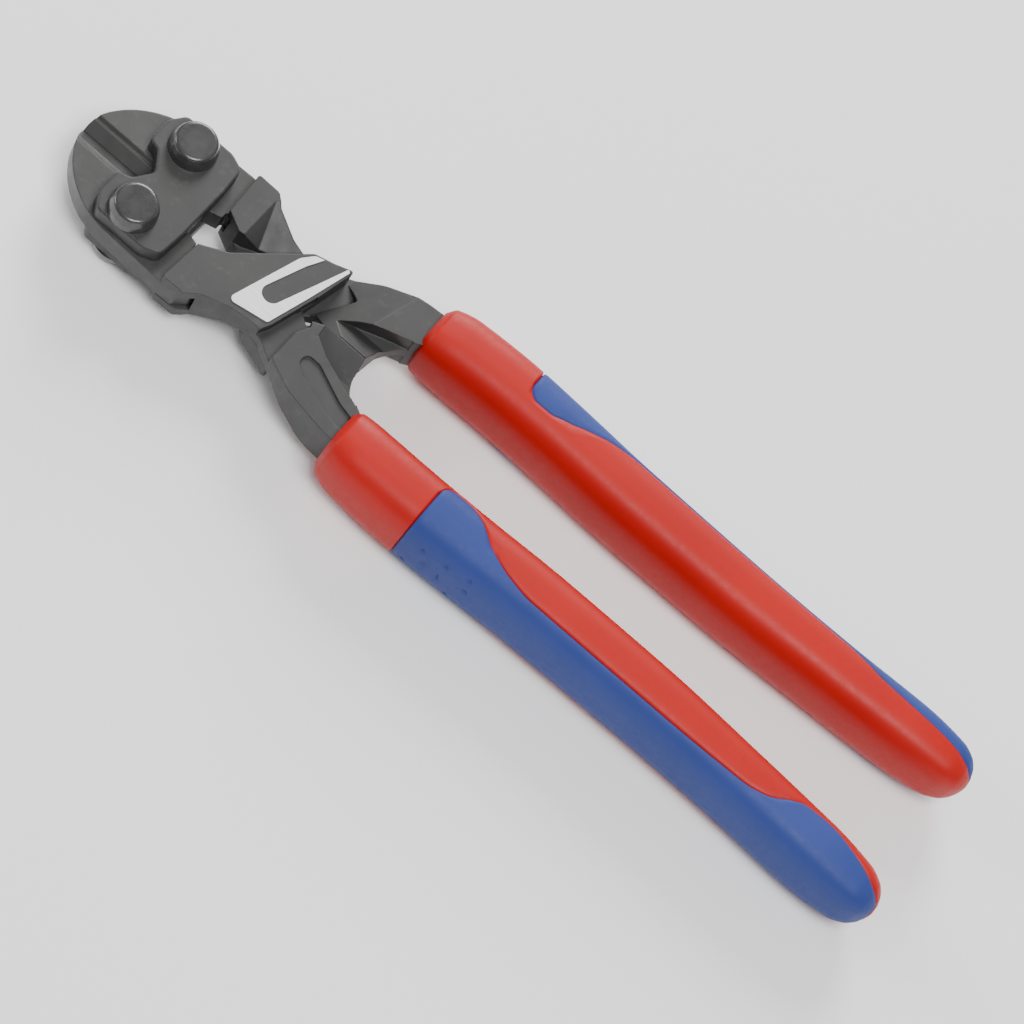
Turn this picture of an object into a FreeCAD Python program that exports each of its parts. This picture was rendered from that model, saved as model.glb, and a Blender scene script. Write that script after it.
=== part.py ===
import FreeCAD, Part
import math
import os
from FreeCAD import Vector, Placement, Rotation

# Compact lever-action bolt cutters, about 200 mm long, closed.
# Drawing frame: x runs from the blade tip towards the grips, y is sideways,
# z is the thickness, with the tool's middle plane at z = 0.  Every finished
# piece is then set down so that the tool lies on its back: origin at the
# centre of its footprint, on the surface it lies on, +Z up.

doc = FreeCAD.newDocument("BoltCutters")
sheet = doc.addObject("Spreadsheet::Sheet", "Dimensions")
DIMS = [
    ("axis_shift", 100.6), ("half_height", 9.2),
    ("jaw_thick", 4.9), ("plate_thick", 3.55), ("plate_gap", 2.5),
    ("lever_thick", 9.6), ("lap_gap", 0.05), ("groove_floor", 2.7),
    ("rivet_x", 17.6), ("rivet_y", 8.8), ("rivet_shank", 3.5),
    ("rivet_head", 4.8), ("rivet_crown", 4.0), ("rivet_bore", 3.57),
    ("hinge_x", 33.2), ("hinge_y", 9.6), ("hinge_pin", 2.2), ("hinge_bore", 2.27),
    ("pivot_x", 49.2), ("pivot_pin", 2.6), ("pivot_bore", 2.85), ("pin_half", 3.9),
    ("badge_thick", 0.2), ("tang_half", 2.6), ("slot_thick", 5.1),
]
for i, (alias, value) in enumerate(DIMS):
    sheet.set("A%d" % (i + 1), alias)
    sheet.set("B%d" % (i + 1), str(value))
    sheet.setAlias("B%d" % (i + 1), alias)
doc.recompute()
D = {a: float(getattr(sheet, a)) for a, _ in DIMS}
NODES = []


def rounded(points):
    """Closed outline with rounded corners: points are (x, y, radius)."""
    n = len(points)
    ends = []
    geo = []
    for i in range(n):
        p = Vector(points[i][0], points[i][1], 0)
        a = Vector(points[i - 1][0], points[i - 1][1], 0) - p
        b = Vector(points[(i + 1) % n][0], points[(i + 1) % n][1], 0) - p
        r = points[i][2] if len(points[i]) > 2 else 0
        ang = a.getAngle(b)
        if r <= 0 or ang > math.pi - 0.02:
            ends.append((p, p, None))
            continue
        cut = r / math.tan(ang / 2)
        cut = min(cut, 0.48 * a.Length, 0.48 * b.Length)
        r = cut * math.tan(ang / 2)
        ua = Vector(a).normalize()
        ub = Vector(b).normalize()
        mid = Vector(ua + ub).normalize()
        c = p + mid * (r / math.sin(ang / 2))
        ends.append((p + ua * cut, p + ub * cut, c - mid * r))
    for i in range(n):
        s, e, m = ends[i]
        if m is not None:
            geo.append(Part.Arc(s, m, e))
        nxt = ends[(i + 1) % n][0]
        if (nxt - e).Length > 1e-6:
            geo.append(Part.LineSegment(e, nxt))
    return geo


def flip(points):
    return [(p[0], -p[1]) + tuple(p[2:]) for p in points]


def plane_of(body, role):
    return [f for f in body.Origin.OriginFeatures if f.Role == role][0]


def slab(name, points, low, thick, place=None):
    """A padded outline between z = low and z = low + thick (sheet formulas)."""
    body = doc.addObject("PartDesign::Body", name)
    sk = body.newObject("Sketcher::SketchObject", name + "_outline")
    sk.AttachmentSupport = [(plane_of(body, "XY_Plane"), "")]
    sk.MapMode = "FlatFace"
    sk.setExpression("AttachmentOffset.Base.z", low)
    for g in rounded(points):
        sk.addGeometry(g, False)
    pad = body.newObject("PartDesign::Pad", name + "_pad")
    pad.Profile = sk
    pad.setExpression("Length", thick)
    body.Tip = pad
    if place is not None:
        body.Placement = place
    return body


def rod(name, radius, low, height, x, y):
    c = doc.addObject("Part::Cylinder", name)
    c.setExpression("Radius", radius)
    c.setExpression("Height", height)
    c.setExpression("Placement.Base.x", x)
    c.setExpression("Placement.Base.y", y)
    c.setExpression("Placement.Base.z", low)
    return c


def cut(name, base, tool):
    o = doc.addObject("Part::Cut", name)
    o.Base, o.Tool = base, tool
    return o


def common(name, base, tool):
    o = doc.addObject("Part::Common", name)
    o.Base, o.Tool = base, tool
    return o


def fuse(name, shapes):
    o = doc.addObject("Part::MultiFuse", name)
    o.Shapes = shapes
    return o


def wedge(name, origin, normal):
    """The half space beyond a plane, as a large box."""
    b = doc.addObject("Part::Box", name)
    b.Length = b.Width = 240
    b.Height = 60
    rot = Rotation(Vector(0, 0, 1), Vector(*normal))
    b.Placement = Placement(Vector(*origin) - rot.multVec(Vector(120, 120, 0)), rot)
    return b


def finish(obj, label, turned=False):
    """Name a piece, set the tool on its back, and list it for export."""
    obj.Label = label
    obj.setExpression("Placement.Base.x", "-<<Dimensions>>.axis_shift")
    obj.setExpression("Placement.Base.z", "<<Dimensions>>.half_height")
    if turned:
        obj.Placement.Rotation = Rotation(Vector(1, 0, 0), 180)
    NODES.append(obj)
    return obj


S = "<<Dimensions>>."

# ---------------------------------------------------------------- link plates
PLATE = [(15.7, 0, 1.5), (13.2, 3.9, 2.0), (10.7, 4.6, 1.6), (10.7, 10.2, 2.2), (12.8, 13.3, 1.5),
         (23.5, 13.4, 4.0), (26.8, 12.0, 2.0), (27.2, 6.0, 3.0)]
PLATE = PLATE + [(p[0], -p[1], p[2]) for p in reversed(PLATE[1:])]
for label, low, sign in (("front_link_plate", S + "plate_gap", 1),
                         ("rear_link_plate", "-" + S + "plate_gap - " + S + "plate_thick", -1)):
    body = slab(label + "_body", PLATE, low, S + "plate_thick")
    doc.recompute()
    face_z = D["plate_gap"] + D["plate_thick"] if sign > 0 else -(D["plate_gap"] + D["plate_thick"])
    edges = ["Edge%d" % (k + 1) for k, e in enumerate(body.Shape.Edges)
             if abs(e.BoundBox.ZMin - face_z) < 1e-4 and abs(e.BoundBox.ZMax - face_z) < 1e-4]
    pad = body.Tip
    ch = body.newObject("PartDesign::Chamfer", label + "_edge")
    ch.Base = (pad, edges)
    ch.Size = 0.3
    body.Tip = ch
    doc.recompute()
    a = rod(label + "_bore_a", S + "rivet_shank", "-10", "20", S + "rivet_x", S + "rivet_y")
    b = rod(label + "_bore_b", S + "rivet_shank", "-10", "20", S + "rivet_x", "-" + S + "rivet_y")
    finish(cut(label + "_holed", cut(label + "_c1", body, a), b), label)

# --------------------------------------------------------------------- rivets
for label, ysign in (("upper_jaw_rivet", 1), ("lower_jaw_rivet", -1)):
    body = doc.addObject("PartDesign::Body", label + "_body")
    sk = body.newObject("Sketcher::SketchObject", label + "_profile")
    sk.AttachmentSupport = [(plane_of(body, "XZ_Plane"), "")]
    sk.MapMode = "FlatFace"
    top, seat = D["half_height"], D["plate_gap"] + D["plate_thick"] + 0.002
    rs, rh, rc = D["rivet_shank"] - 0.002, D["rivet_head"], D["rivet_crown"]
    prof = [(0, -top, 0), (rc, -top, 0.7), (rh - 0.15, -seat - 1.5, 0.8), (rh, -seat, 0), (rs, -seat, 0),
            (rs, seat, 0), (rh, seat, 0), (rh - 0.15, seat + 1.5, 0.8), (rc, top, 0.7), (0, top, 0)]
    for g in rounded(prof):
        sk.addGeometry(g, False)
    rev = body.newObject("PartDesign::Revolution", label + "_turn")
    rev.Profile = sk
    rev.ReferenceAxis = (sk, ["V_Axis"])
    rev.Angle = 360
    body.Tip = rev
    finish(body, label)
    body.setExpression("Placement.Base.x", S + "rivet_x - " + S + "axis_shift")
    body.setExpression("Placement.Base.y", ("" if ysign > 0 else "-") + S + "rivet_y")

# ----------------------------------------------------------------------- jaws
# Lower jaw: half-round beak, straight cutting edge, ground bevels, and a round
# tongue at its tail that enters the fork of the lever.
JAW = [(0.15, -0.02), (15.9, -0.02), (29.7, -3.75, 0.3), (29.7, -5.0, 0.3), (33.0, -6.0, 1.5), (35.6, -7.2, 1.5), (36.6, -9.6, 1.5),
       (35.6, -12.1, 1.5), (33.2, -14.2, 0.8), (28.6, -14.4, 0.6), (14.5, -13.9, 20), (10.4, -12.9, 30), (6.4, -10.7, 30),
       (3.3, -7.9, 30), (1.1, -4.6, 30), (0.15, -1.6, 30)]
HX, HY = D["hinge_x"], D["hinge_y"]


def jaw(label, turned):
    blank = slab(label + "_blank", JAW, "-" + S + "jaw_thick / 2", S + "jaw_thick")
    hole = rod(label + "_bore", S + "rivet_bore", "-10", "20", S + "rivet_x", "-" + S + "rivet_y")
    pin = rod(label + "_eye", S + "hinge_bore", "-10", "20", S + "hinge_x", "-" + S + "hinge_y")
    o = cut(label + "_c1", blank, hole)
    o = cut(label + "_c2", o, pin)
    # main bevels meet on the cutting edge, at the middle plane, and run out in
    # the throat; a narrow flat land divides each from the short outer bevel
    for k, sg in (("f", 1), ("r", -1)):
        tool = doc.addObject("Part::Feature", label + "_groove_" + k)
        pts = [(-0.02, 0.12), (-2.35, 1.8), (-2.85, 1.8), (-3.6, 2.6), (-3.7, 4.0), (1.0, 4.0), (1.0, 0.12)]
        w = Part.makePolygon([Vector(-1, y, sg * z) for y, z in pts] + [Vector(-1, pts[0][0], sg * pts[0][1])])
        tool.Shape = Part.Face(w).extrude(Vector(16.6, 0, 0))
        o = cut(label + "_c3" + k, o, tool)
    return finish(o, label, turned)


jaw("lower_jaw", False)
jaw("upper_jaw", True)

# --------------------------------------------------------------------- levers
# The two levers are the same forging turned over about the long axis.  This is
# the lower one: fork and block in front, arm, lap plate that crosses to the
# far outline, curved neck with the closing stop, and a tang inside the grip.
OUT = [(30.1, -4.8, 0.4), (35.4, -1.9, 2.0), (46.9, 9.4, 0.8), (50.5, 10.4), (54.5, 12.0, 0.5), (52.4, 1.5), (52.0, -0.2),
       (54.2, -1.9, 0.4), (57.9, -0.03, 0.8), (66.4, -0.03, 0.5), (67.3, -4.2, 2), (69.8, -8.0, 3), (76.0, -11.6, 3),
       (76.0, -17.6), (68.5, -17.0, 6), (60.0, -15.5, 6), (54.4, -12.9, 4), (50.2, -10.3, 4), (47.5, -9.6, 4), (42.0, -10.3, 3),
       (36.6, -12.3, 2), (34.4, -14.3, 1.2), (29.5, -14.4, 0.5)]


def plane_cut_region(name, planes):
    """Convex region on the near side of several planes, as one solid."""
    o = None
    for i, (orig, nrm) in enumerate(planes):
        b = wedge("%s_%d" % (name, i), orig, nrm)
        o = b if o is None else common("%s_c%d" % (name, i), o, b)
    return o


def lever(label, turned):
    z = D["lever_thick"] / 2
    blank = slab(label + "_blank", OUT, "-" + S + "lever_thick / 2", S + "lever_thick")
    # the other lever's lap plate passes behind: everything over its swept
    # space is taken away from the back, with sloping run-outs both ways
    sp = 0.45
    nF = (-0.70, -0.714)      # outward from the mirrored front edge of the lap
    nL = (0.965, 0.262)      # outward from the mirrored rear edge of the lap
    room = plane_cut_region(label + "_room", [
        ((0, 0, D["lap_gap"]), (0, 0, -1)),
        ((36.0, 1.3, -D["lap_gap"]), (-sp * nF[0], -sp * nF[1], -1)),
        ((55.4, -13.2, -D["lap_gap"]), (-0.5 * nL[0], -0.5 * nL[1], -1)),
        ((35.0, 0, -z), (1.1, 0, -1))])
    o = cut(label + "_half", blank, room)
    # on this lever's back layer, everything that the other lever's outline
    # sweeps as the tool opens is cleared down to the middle plane
    other = Part.Face(Part.Wire([g.toShape() for g in rounded(flip(OUT))])).makeOffset2D(0.2)
    pivot = Vector(D["pivot_x"], 0, 0)
    swept = []
    for deg in (0, 3, 6, 9, 12, 15, 18, 19.5):
        f = other.copy()
        f.rotate(pivot, Vector(0, 0, 1), deg)
        f.translate(Vector(0, 0, -9))
        swept.append(f.extrude(Vector(0, 0, 9 + D["lap_gap"])))
    sweep = doc.addObject("Part::Feature", label + "_swept")
    doc.recompute()
    carved = o.Shape
    for solid in swept:
        carved = carved.cut(solid)
    sweep.Shape = max(carved.Solids, key=lambda q: q.Volume)
    o = sweep
    # dark groove across the root of the neck, and the sloping web behind it
    groove = slab(label + "_groove", [(52.6, 3.0), (55.3, -2.6, 0.3), (53.9, -5.5), (53.9, -13.0), (47.4, -13.0), (49.9, -7.4)],
                  S + "groove_floor", "9")
    o = cut(label + "_gr", o, groove)
    web = [(57.0, 0.5), (67.5, 0.5), (71.0, -8.9), (66.0, -7.2), (61.0, -5.2), (57.4, -2.9)]
    for k, sg in (("f", 1), ("r", -1)):
        prism = slab(label + "_web_" + k, web, "1.2" if sg > 0 else "-9.2", "8")
        side = wedge(label + "_dish_" + k, (60, -0.03, sg * 4.4), (0, -0.62, sg * 1.0))
        o = cut(label + "_w" + k, o, common(label + "_wc" + k, prism, side))
    # long recess on the outer face of the neck, open towards the grip
    rec = slab(label + "_mark", [(58.2, -7.2, 1.5), (61.2, -7.3, 1.4), (68.5, -10.6), (80, -13.4), (80, -15.8), (68.5, -14.0),
                                 (60.6, -11.3, 1.6), (58.0, -9.6, 1.5)], "4.35", "4")
    o = cut(label + "_mk", o, rec)
    # fork slot for the jaw's tongue
    slot = slab(label + "_slot", [(20, -2), (31.0, -4.2), (35.9, -6.5, 1.0), (37.1, -9.6, 1.6), (36.3, -12.7, 1.0), (34.8, -16), (20, -16)],
                "-" + S + "slot_thick / 2", S + "slot_thick")
    o = cut(label + "_fork", o, slot)
    # tang
    tang = slab(label + "_tang", [(74, -11.9), (82, -13.2), (120, -12.4), (165, -12.6), (176, -13.2, 2), (176, -17.0, 2), (165, -16.6),
                                  (120, -16.4), (82, -17.6), (74, -17.4)], "-" + S + "tang_half", "2 * " + S + "tang_half")
    o = fuse(label + "_body", [o, tang])
    eye = rod(label + "_hingebore", S + "hinge_pin", "-" + S + "pin_half - 0.02", "2 * " + S + "pin_half + 0.04", S + "hinge_x", "-" + S + "hinge_y")
    o = cut(label + "_e", o, eye)
    bore = rod(label + "_pivotbore", S + ("pivot_bore" if turned else "pivot_pin"), "-" + S + "pin_half", "2 * " + S + "pin_half", S + "pivot_x", "0")
    o = cut(label + "_p", o, bore)
    return finish(o, label, turned)


lever("lower_lever", False)
lever("upper_lever", True)

# ----------------------------------------------------------------------- pins
finish(rod("pivot_pin_rod", S + "pivot_pin - 0.002", "-" + S + "pin_half + 0.01", "2 * " + S + "pin_half - 0.02",
           S + "pivot_x", "0"), "lever_pivot_pin")
for label, sg in (("upper_hinge_pin", ""), ("lower_hinge_pin", "-")):
    finish(rod(label + "_rod", S + "hinge_pin - 0.002", "-" + S + "pin_half + 0.01", "2 * " + S + "pin_half - 0.02",
               S + "hinge_x", sg + S + "hinge_y"), label)
# pins keep their own place in the drawing frame
for o, sy in ((NODES[-3], None), (NODES[-2], ""), (NODES[-1], "-")):
    o.setExpression("Placement.Base.x", S + ("pivot_x" if sy is None else "hinge_x") + " - " + S + "axis_shift")
    o.setExpression("Placement.Base.y", "0" if sy is None else sy + S + "hinge_y")
    o.setExpression("Placement.Base.z", S + "half_height - " + S + "pin_half + 0.01")

# --------------------------------------------------------------------- badges
BADGE = [(40.7, -9.4, 0.9), (49.0, -7.8, 0.6), (51.5, 1.4), (54.0, 11.5, 0.4), (50.5, 10.1), (47.2, 9.0, 1.4), (45.4, 6.6, 2.0)]
for label, turned in (("front_badge", False), ("rear_badge", True)):
    plate = slab(label + "_plate", BADGE, S + "lever_thick / 2", S + "badge_thick")
    win = slab(label + "_window", [(43.6, -3.9, 1.95), (47.3, -5.2, 1.95), (50.9, 4.6), (54.6, 15.0), (51.6, 15.0), (47.2, 6.1)], "4", "3")
    finish(cut(label + "_cut", plate, win), label, turned)

# ---------------------------------------------------------------------- grips
# Grip stations: x, centre y, half width, half thickness
GRIP = [(71.8, -14.2, 4.6, 6.2), (73.2, -14.5, 6.0, 7.5), (78, -15.0, 6.6, 8.2), (90, -15.3, 6.7, 8.6), (102, -15.0, 6.6, 8.7),
        (120, -14.3, 6.5, 8.7), (145, -14.1, 6.3, 8.6), (168, -14.7, 5.9, 8.4), (185, -15.5, 5.8, 8.2), (195, -15.9, 5.2, 7.2),
        (199.4, -16.0, 3.7, 5.0), (201.0, -16.0, 1.6, 2.2)]


def grip_section(x, yc, w, t):
    pts = []
    for k in range(24):
        a = 2 * math.pi * (k + 0.5) / 24
        c, s = math.cos(a), math.sin(a)
        e = 2.0 / 3.1
        pts.append(Vector(x, yc + w * math.copysign(abs(c) ** e, c), t * math.copysign(abs(s) ** e, s)))
    b = Part.BSplineCurve()
    b.interpolate(pts, PeriodicFlag=True)
    return Part.Wire([b.toShape()])


INL_F = [(92.5, -30), (92.7, -12.5, 1.5), (95.0, -10.3, 2.0), (100.5, -10.3, 2.5), (106, -13.2, 4), (116, -16.3, 8), (150, -16.4, 10),
         (170, -15.8, 5), (176, -12.8, 5), (182, -11.4, 3), (192, -12.2, 6), (206, -15.6), (206, -30)]
INL_R = [(92.5, -30), (92.7, -16.0, 1.5), (95.0, -14.2, 2.0), (100.5, -14.2, 2.5), (106, -16.4, 4), (116, -19.2, 8), (150, -19.0, 10),
         (170, -18.8, 5), (176, -17.8, 5), (182, -17.4, 3), (192, -17.4, 6), (206, -17.6), (206, -30)]
for side, turned in (("lower", False), ("upper", True)):
    for kind in ("shell", "inlay"):
        nm = "%s_grip_%s" % (side, kind)
        full = doc.addObject("Part::Feature", nm + "_form")
        full.Shape = Part.makeLoft([grip_section(*g) for g in GRIP], True, False)
        tang = slab(nm + "_tanghole", [(74, -11.9), (82, -13.2), (120, -12.4), (165, -12.6), (176, -13.2, 2), (176, -17.0, 2),
                                       (165, -16.6), (120, -16.4), (82, -17.6), (74, -17.4)],
                    "-" + S + "tang_half", "2 * " + S + "tang_half")
        neck = slab(nm + "_neckhole", OUT, "-" + S + "lever_thick / 2", S + "lever_thick")
        zf = slab(nm + "_zf", INL_F, "0", "12")
        zr = slab(nm + "_zr", INL_R, "-12", "12")
        zone = fuse(nm + "_zone", [zf, zr])
        # the inlay stops short of the steel: a red sleeve surrounds the tang
        sleeve = slab(nm + "_sleeve", [(60, -9.6), (82, -11.2), (120, -10.9), (165, -11.1), (179, -11.6, 2), (179, -18.3, 2), (165, -18.1),
                                       (120, -17.9), (82, -19.1), (60, -18.9)], "-5.2", "10.4")
        zone2 = cut(nm + "_zone2", zone, sleeve)
        doc.recompute()
        o = doc.addObject("Part::Feature", nm + "_moulding")
        if kind == "inlay":
            o.Shape = full.Shape.cut([full.Shape.cut([zone2.Shape], 0.001)], 0.001)
            if o.Shape.Volume < 1000:
                o.Shape = full.Shape.common(zone2.Shape)
        else:
            o.Shape = full.Shape.cut([zone2.Shape], 0.001).cut(tang.Shape).cut(neck.Shape)
        if len(o.Shape.Solids) >= 1:
            o.Shape = max(o.Shape.Solids, key=lambda q: q.Volume)
        finish(o, nm, turned)

doc.recompute()

# ------------------------------------------------------------ check and write
bad = [o.Name for o in doc.Objects if "Invalid" in o.State or "Error" in o.State]
for n in bad:
    print(n, doc.getObject(n).getStatusString())
if bad:
    raise RuntimeError("failed objects: %s" % bad)
for o in NODES:
    if o.Shape.isNull() or not o.Shape.isValid():
        raise RuntimeError("bad shape: " + o.Label)
    if len(o.Shape.Solids) != 1:
        print("solids", o.Label, [round(s.Volume, 1) for s in o.Shape.Solids])
os.makedirs("parts", exist_ok=True)
box = FreeCAD.BoundBox()
for o in NODES:
    o.Shape.exportStep("parts/%s.step" % o.Label)
    box.add(o.Shape.BoundBox)
    print("%-20s %9.1f mm3" % (o.Label, o.Shape.Volume))
print("box", [round(v, 3) for v in (box.XMin, box.YMin, box.ZMin, box.XMax, box.YMax, box.ZMax)])
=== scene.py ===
import bpy, math
from mathutils import Vector, Matrix


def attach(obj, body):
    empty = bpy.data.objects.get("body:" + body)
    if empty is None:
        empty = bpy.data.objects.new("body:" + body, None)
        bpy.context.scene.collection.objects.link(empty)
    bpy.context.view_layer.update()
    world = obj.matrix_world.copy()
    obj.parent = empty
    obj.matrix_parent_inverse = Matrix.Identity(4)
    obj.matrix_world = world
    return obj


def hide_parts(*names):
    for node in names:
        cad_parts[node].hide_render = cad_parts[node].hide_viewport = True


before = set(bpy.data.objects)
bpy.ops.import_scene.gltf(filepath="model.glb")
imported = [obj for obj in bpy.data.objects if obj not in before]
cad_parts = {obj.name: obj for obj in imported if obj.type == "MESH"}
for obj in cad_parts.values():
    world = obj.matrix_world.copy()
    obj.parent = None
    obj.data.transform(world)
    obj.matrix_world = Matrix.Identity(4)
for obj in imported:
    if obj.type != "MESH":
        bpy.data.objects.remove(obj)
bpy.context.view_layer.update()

AX, HH = 100.6, 9.2          # drawing frame to row frame, millimetres


def mm(x, y, z):
    return ((x - AX) / 1000.0, y / 1000.0, (z + HH) / 1000.0)


# ------------------------------------------------------------------ materials
def new_mat(name):
    m = bpy.data.materials.new(name)
    m.use_nodes = True
    nt = m.node_tree
    nt.nodes.clear()
    out = nt.nodes.new("ShaderNodeOutputMaterial")
    b = nt.nodes.new("ShaderNodeBsdfPrincipled")
    nt.links.new(b.outputs["BSDF"], out.inputs["Surface"])
    tc = nt.nodes.new("ShaderNodeTexCoord")
    return m, nt, b, tc


def noise(nt, tc, scale, detail=3.0, rough=0.5, stretch=None):
    n = nt.nodes.new("ShaderNodeTexNoise")
    n.inputs["Scale"].default_value = scale
    n.inputs["Detail"].default_value = detail
    n.inputs["Roughness"].default_value = rough
    if stretch:
        mp = nt.nodes.new("ShaderNodeMapping")
        mp.inputs["Scale"].default_value = stretch
        nt.links.new(tc.outputs["Object"], mp.inputs["Vector"])
        nt.links.new(mp.outputs["Vector"], n.inputs["Vector"])
    else:
        nt.links.new(tc.outputs["Object"], n.inputs["Vector"])
    return n.outputs["Fac"]


def ramp(nt, fac, stops):
    r = nt.nodes.new("ShaderNodeValToRGB")
    e = r.color_ramp.elements
    while len(e) < len(stops):
        e.new(0.5)
    for i, (p, c) in enumerate(stops):
        e[i].position = p
        e[i].color = (c, c, c, 1) if not isinstance(c, tuple) else c + (1,)
    nt.links.new(fac, r.inputs["Fac"])
    return r.outputs["Color"]


def bump(nt, b, layers, bevel=None):
    prev = None
    if bevel:
        bv = nt.nodes.new("ShaderNodeBevel")
        bv.samples = 6
        bv.inputs["Radius"].default_value = bevel
        prev = bv.outputs["Normal"]
    for fac, strength, dist in layers:
        n = nt.nodes.new("ShaderNodeBump")
        n.inputs["Strength"].default_value = strength
        n.inputs["Distance"].default_value = dist
        nt.links.new(fac, n.inputs["Height"])
        if prev is not None:
            nt.links.new(prev, n.inputs["Normal"])
        prev = n.outputs["Normal"]
    nt.links.new(prev, b.inputs["Normal"])


def steel(name, dark, light, r_lo, r_hi, edge=0.0, metal=0.35, wear=True, bevel=0.00035, coat=0.0):
    m, nt, b, tc = new_mat(name)
    big = noise(nt, tc, 90, 4, 0.55)
    fine = noise(nt, tc, 2600, 2, 0.6)
    col = ramp(nt, big, [(0.3, dark), (0.7, light)])
    if wear:
        geo = nt.nodes.new("ShaderNodeNewGeometry")
        pt = ramp(nt, geo.outputs["Pointiness"], [(0.535, 0.0), (0.60, 1.0)])
        spots = ramp(nt, noise(nt, tc, 420, 5, 0.7), [(0.56, 0.0), (0.70, 1.0)])
        mul = nt.nodes.new("ShaderNodeMath"); mul.operation = "MULTIPLY"
        nt.links.new(pt, mul.inputs[0]); nt.links.new(spots, mul.inputs[1])
        mul2 = nt.nodes.new("ShaderNodeMath"); mul2.operation = "MULTIPLY"
        mul2.inputs[1].default_value = 0.14
        nt.links.new(mul.outputs[0], mul2.inputs[0])
        mx = nt.nodes.new("ShaderNodeMixRGB")
        mx.inputs["Color2"].default_value = (0.16, 0.155, 0.15, 1)
        nt.links.new(mul2.outputs[0], mx.inputs["Fac"])
        nt.links.new(col, mx.inputs["Color1"])
        col = mx.outputs["Color"]
    nt.links.new(col, b.inputs["Base Color"])
    nt.links.new(ramp(nt, noise(nt, tc, 300, 4, 0.6), [(0.3, r_lo), (0.7, r_hi)]), b.inputs["Roughness"])
    b.inputs["Metallic"].default_value = metal
    if coat:
        b.inputs["Coat Weight"].default_value = coat
        b.inputs["Coat Roughness"].default_value = 0.12
    bump(nt, b, [(big, 0.05, 0.00008), (fine, 0.22, 0.00003)], bevel)
    return m


M_STEEL = steel("blackened_steel", (0.040, 0.040, 0.040), (0.050, 0.050, 0.049), 0.42, 0.54)
M_BLADE = steel("blade_steel", (0.046, 0.046, 0.045), (0.057, 0.057, 0.056), 0.38, 0.50)
M_RIVET = steel("rivet_steel", (0.046, 0.046, 0.046), (0.056, 0.056, 0.056), 0.24, 0.36, metal=0.45, coat=0.5, bevel=0.0005)
M_PIN = steel("pin_steel", (0.040, 0.040, 0.040), (0.050, 0.050, 0.049), 0.42, 0.54)


def silver():
    m, nt, b, tc = new_mat("silver_marking")
    grain = noise(nt, tc, 260, 3, 0.6, stretch=(1.0, 14.0, 1.0))
    nt.links.new(ramp(nt, grain, [(0.3, (0.74, 0.74, 0.74)), (0.7, (0.84, 0.84, 0.83))]), b.inputs["Base Color"])
    nt.links.new(ramp(nt, grain, [(0.3, 0.42), (0.7, 0.56)]), b.inputs["Roughness"])
    b.inputs["Metallic"].default_value = 0.25
    bump(nt, b, [(grain, 0.12, 0.00004), (noise(nt, tc, 3000, 2), 0.1, 0.00002)])
    return m


def grip_mat(name, dark, light, rlo, rhi, sheen):
    m, nt, b, tc = new_mat(name)
    big = noise(nt, tc, 38, 3, 0.5)
    mid = noise(nt, tc, 900, 3, 0.6)
    fine = noise(nt, tc, 4200, 2, 0.6)
    nt.links.new(ramp(nt, big, [(0.3, dark), (0.7, light)]), b.inputs["Base Color"])
    nt.links.new(ramp(nt, mid, [(0.3, rlo), (0.7, rhi)]), b.inputs["Roughness"])
    b.inputs["Coat Weight"].default_value = sheen
    b.inputs["Specular IOR Level"].default_value = 0.28
    b.inputs["Coat Roughness"].default_value = 0.35
    bump(nt, b, [(big, 0.08, 0.0003), (mid, 0.10, 0.00004), (fine, 0.18, 0.00002)])
    return m


M_SILVER = silver()
M_RED = grip_mat("red_grip_plastic", (0.40, 0.003, 0.0015), (0.45, 0.0045, 0.002), 0.46, 0.56, 0.04)
M_BLUE = grip_mat("blue_grip_inlay", (0.022, 0.042, 0.20), (0.028, 0.052, 0.235), 0.52, 0.64, 0.0)


def dress(node, mat):
    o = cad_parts[node]
    o.data.materials.clear() if not o.material_slots else None
    if o.material_slots:
        for s in o.material_slots:
            s.material = mat
    else:
        o.data.materials.append(mat)


for n in ("front_link_plate", "rear_link_plate", "upper_lever", "lower_lever"):
    dress(n, M_STEEL)
for n in ("upper_jaw", "lower_jaw"):
    dress(n, M_BLADE)
for n in ("upper_jaw_rivet", "lower_jaw_rivet"):
    dress(n, M_RIVET)
for n in ("lever_pivot_pin", "upper_hinge_pin", "lower_hinge_pin"):
    dress(n, M_PIN)
for n in ("front_badge", "rear_badge"):
    dress(n, M_SILVER)

# ---------------------------------------------------------------------- grips
GRIP = [(71.8, -14.2, 4.6, 6.2), (73.2, -14.5, 6.0, 7.5), (78, -15.0, 6.6, 8.2), (90, -15.3, 6.7, 8.6), (102, -15.0, 6.6, 8.7),
        (120, -14.3, 6.5, 8.7), (145, -14.1, 6.3, 8.6), (168, -14.7, 5.9, 8.4), (185, -15.5, 5.8, 8.2), (195, -15.9, 5.1, 7.1),
        (198.2, -16.0, 4.1, 5.7), (199.8, -16.0, 2.9, 4.0), (200.6, -16.0, 1.7, 2.4), (200.92, -16.0, 0.9, 1.3), (201.0, -16.0, 0.2, 0.3)]


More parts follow.
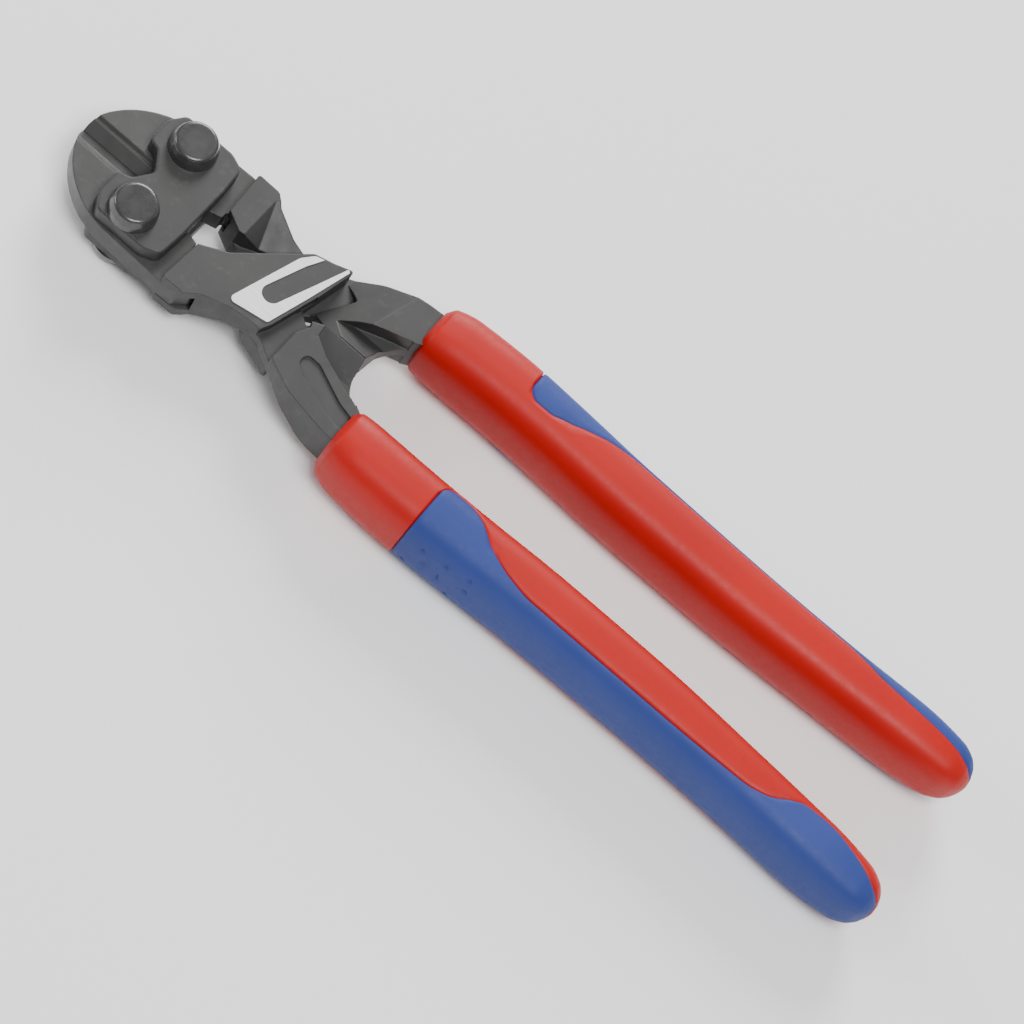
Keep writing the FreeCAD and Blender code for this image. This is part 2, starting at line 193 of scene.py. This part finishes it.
def curve(pts):
    """Monotone cubic through (x, value) points."""
    xs = [p[0] for p in pts]; ys = [p[1] for p in pts]
    n = len(xs)
    d = [(ys[i + 1] - ys[i]) / (xs[i + 1] - xs[i]) for i in range(n - 1)]
    m = [d[0]] + [0 if d[i - 1] * d[i] <= 0 else 2 * d[i - 1] * d[i] / (d[i - 1] + d[i]) for i in range(1, n - 1)] + [d[-1]]

    def f(x):
        x = min(max(x, xs[0]), xs[-1])
        i = 0
        while i < n - 2 and x > xs[i + 1]:
            i += 1
        w = xs[i + 1] - xs[i]; t = (x - xs[i]) / w
        return ((2 * t**3 - 3 * t * t + 1) * ys[i] + (t**3 - 2 * t * t + t) * w * m[i]
                + (-2 * t**3 + 3 * t * t) * ys[i + 1] + (t**3 - t * t) * w * m[i + 1])
    return f


f_y = curve([(g[0], g[1]) for g in GRIP])
f_w = curve([(g[0], g[2]) for g in GRIP])
f_t = curve([(g[0], g[3]) for g in GRIP])
B_F = curve([(92.5, -13.2), (93.2, -11.2), (95.0, -10.2), (98.0, -10.2), (101.5, -11.3), (106, -14.4), (112, -16.8), (118, -17.7),
             (150, -17.6), (167, -17.2), (172, -16.2), (176, -13.6), (179, -12.1), (184, -11.7), (192, -13.2), (198, -15.2), (201, -16.0)])
B_R = curve([(92.5, -16.6), (93.2, -14.9), (95.0, -13.9), (98.0, -13.9), (101.5, -14.8), (106, -16.6), (112, -18.4), (118, -19.1),
             (150, -18.9), (167, -18.9), (172, -18.4), (176, -17.7), (184, -17.4), (192, -17.3), (198, -16.6), (201, -16.0)])
E = 2.0 / 3.1
X0 = 92.5
DIMPLES = [(77.5, -20.6, 1.5), (86.0, -21.2, 3.2), (92.0, -21.3, 2.6), (97.2, -21.2, 3.8), (98.6, -21.4, 0.6), (102.2, -21.2, 4.2),
           (102.0, -21.3, -0.8), (107.2, -20.9, 5.0), (107.6, -21.0, 1.6), (81.5, -21.2, -2.6), (95.0, -21.4, -4.0), (105.0, -21.0, -4.6)]


def surf(x, a, off=0.0):
    c, s = math.cos(a), math.sin(a)
    w, t = max(f_w(x) - off, 0.05), max(f_t(x) - off, 0.05)
    y = f_y(x) + w * math.copysign(abs(c) ** E, c)
    z = t * math.copysign(abs(s) ** E, s)
    return y, z


def bound(x, fn):
    w = f_w(x)
    q = (fn(x) - f_y(x)) / w
    q = max(-0.985, min(0.985, q))
    c = math.copysign(abs(q) ** (1 / E), q)
    return math.acos(c)


def spread(a0, a1, n):
    """n+1 angles, evenly spaced in angle from a0 to a1"""
    return [a0 + (a1 - a0) * i / n for i in range(n + 1)]


xs = []
x = 71.8
while x < 201.0:
    xs.append(x)
    x += 0.18 if (x < 74.5 or 197.0 < x < 200.4) else 0.06 if x >= 200.4 else (0.4 if x < 110 else 0.8)
xs.append(201.0)
xs = sorted(set([round(v, 4) for v in xs if abs(v - X0) > 0.25] + [X0 - 0.22, X0, X0 + 0.22, X0 + 0.5]))


def build(name, rows, closed_ring, cap_ends, mat, side, node):
    """rows: list of rings of (x, y, z) in mm"""
    verts, faces = [], []
    n = len(rows[0])
    for r in rows:
        for p in r:
            q = p if side == "lower" else (p[0], -p[1], -p[2])
            verts.append(mm(*q))
    for i in range(len(rows) - 1):
        for j in range(n if closed_ring else n - 1):
            k = (j + 1) % n
            faces.append((i * n + j, i * n + k, (i + 1) * n + k, (i + 1) * n + j))
    if cap_ends:
        faces.append(tuple(range(n - 1, -1, -1)))
        base = (len(rows) - 1) * n
        faces.append(tuple(range(base, base + n)))
    me = bpy.data.meshes.new(name)
    me.from_pydata(verts, [], faces)
    me.validate()
    import bmesh
    bm = bmesh.new(); bm.from_mesh(me)
    bmesh.ops.recalc_face_normals(bm, faces=bm.faces)
    bm.to_mesh(me); bm.free()
    for p in me.polygons:
        p.use_smooth = True
    o = bpy.data.objects.new(name, me)
    bpy.context.scene.collection.objects.link(o)
    me.materials.append(mat)
    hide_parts(node)
    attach(o, side + "_handle")
    return o


NB, NR = 84, 84
for side in ("lower", "upper"):
    red_rows, blue_rows = [], []
    for x in xs:
        af = bound(max(x, X0), B_F)
        ar = 2 * math.pi - bound(max(x, X0), B_R)
        blue = spread(af, ar, NB)
        red = spread(ar, af + 2 * math.pi, NR)
        # --- red shell: sunk under the inlay, with a narrow rounded lip
        ring = []
        for j, a in enumerate(blue):
            edge = min(j, NB - j)
            off = 0.0
            if x > X0 + 0.1 and x < 200.4:
                off = [0.18, 0.75][min(edge, 1)]
            elif x >= X0 - 0.1 and x < 200.4:
                off = 0.18
            y, z = surf(x, a, off)
            ring.append((x, y, z))
        for j, a in enumerate(red[1:-1]):
            edge = min(j + 1, NR - 1 - j)
            off = 0.10 if (x > X0 and edge == 1 and x < 200) else 0.0
            y, z = surf(x, a, off)
            ring.append((x, y, z))
        red_rows.append(ring)
        # --- blue inlay: closed band, crowned edges
        if x >= X0 + 0.1 and x < 200.6:
            outer, inner = [], []
            endd = min(x - (X0 + 0.2), 200.6 - x)
            for j, a in enumerate(blue):
                edge = min(j, NB - j)
                off = {0: 0.30, 1: 0.09, 2: 0.02}.get(edge, 0.0)
                if endd < 0.15:
                    off = max(off, 0.30)
                elif endd < 0.4:
                    off = max(off, 0.08)
                y, z = surf(x, a, off - 0.0)
                if side == "lower" or True:
                    for dx, dy, dz in DIMPLES:
                        if a > math.pi * 0.5 and abs(x - dx) < 1.0 and abs(z - dz) < 1.0:
                            r = math.hypot(x - dx, z - dz)
                            if r < 0.55:
                                y += 0.45 * (1 - (r / 0.55) ** 2)
                outer.append((x, y, z))
                y, z = surf(x, a, 0.70)
                inner.append((x, y, z))
            blue_rows.append(outer + inner[::-1])
    build(side + "_grip_red", red_rows, True, True, M_RED, side, side + "_grip_shell")
    build(side + "_grip_blue", blue_rows, True, True, M_BLUE, side, side + "_grip_inlay")

# ------------------------------------------------------- floor, light, camera
bpy.ops.mesh.primitive_plane_add(size=6.0, location=(0, 0, -0.0002))
floor = bpy.context.object
floor.name = "floor"
fm, nt, b, tc = new_mat("pale_floor")
nt.links.new(ramp(nt, noise(nt, tc, 3, 2), [(0.3, (0.95, 0.95, 0.95)), (0.7, (0.97, 0.97, 0.97))]), b.inputs["Base Color"])
b.inputs["Roughness"].default_value = 0.9
floor.data.materials.append(fm)

world = bpy.data.worlds.new("studio") if bpy.context.scene.world is None else bpy.context.scene.world
bpy.context.scene.world = world
world.use_nodes = True
bg = world.node_tree.nodes.get("Background")
bg.inputs["Color"].default_value = (1, 1, 1, 1)
bg.inputs["Strength"].default_value = 0.32


def area(name, loc, target, size, power, sy=None):
    li = bpy.data.lights.new(name, "AREA")
    li.size = size
    if sy:
        li.shape = "RECTANGLE"; li.size_y = sy
    li.energy = power
    o = bpy.data.objects.new(name, li)
    bpy.context.scene.collection.objects.link(o)
    o.location = loc
    d = Vector(target) - Vector(loc)
    o.rotation_euler = d.to_track_quat("-Z", "Y").to_euler()
    return o


area("key", (-0.35, 1.0, 0.62), (0, 0, 0), 0.5, 17.0, 0.7)
area("top", (0.25, -0.25, 1.1), (0, 0, 0), 0.5, 13.0)
area("rim", (-0.7, -0.1, 0.35), (-0.05, 0, 0), 0.25, 1.6)

psi, roll = math.radians(28.0), math.radians(40.7)
C = Vector((0, 0, HH / 1000))
X = Vector((1, 0, 0))
dirv = Vector((0, -math.sin(psi), math.cos(psi)))
v = Vector((0, math.cos(psi), math.sin(psi)))
right = X * math.cos(roll) + v * math.sin(roll)
up = -X * math.sin(roll) + v * math.cos(roll)
target = C + right * 0.00197 - up * 0.00399
cam_d = bpy.data.cameras.new("camera")
cam_d.lens, cam_d.sensor_width = 135.0, 36.0
cam_d.clip_start = 0.01
cam = bpy.data.objects.new("camera", cam_d)
bpy.context.scene.collection.objects.link(cam)
dist = 0.1866 / 36.0 * 135.0
R = Matrix((right, up, dirv)).transposed()
cam.matrix_world = Matrix.Translation(target + dirv * dist) @ R.to_4x4()
bpy.context.scene.camera = cam
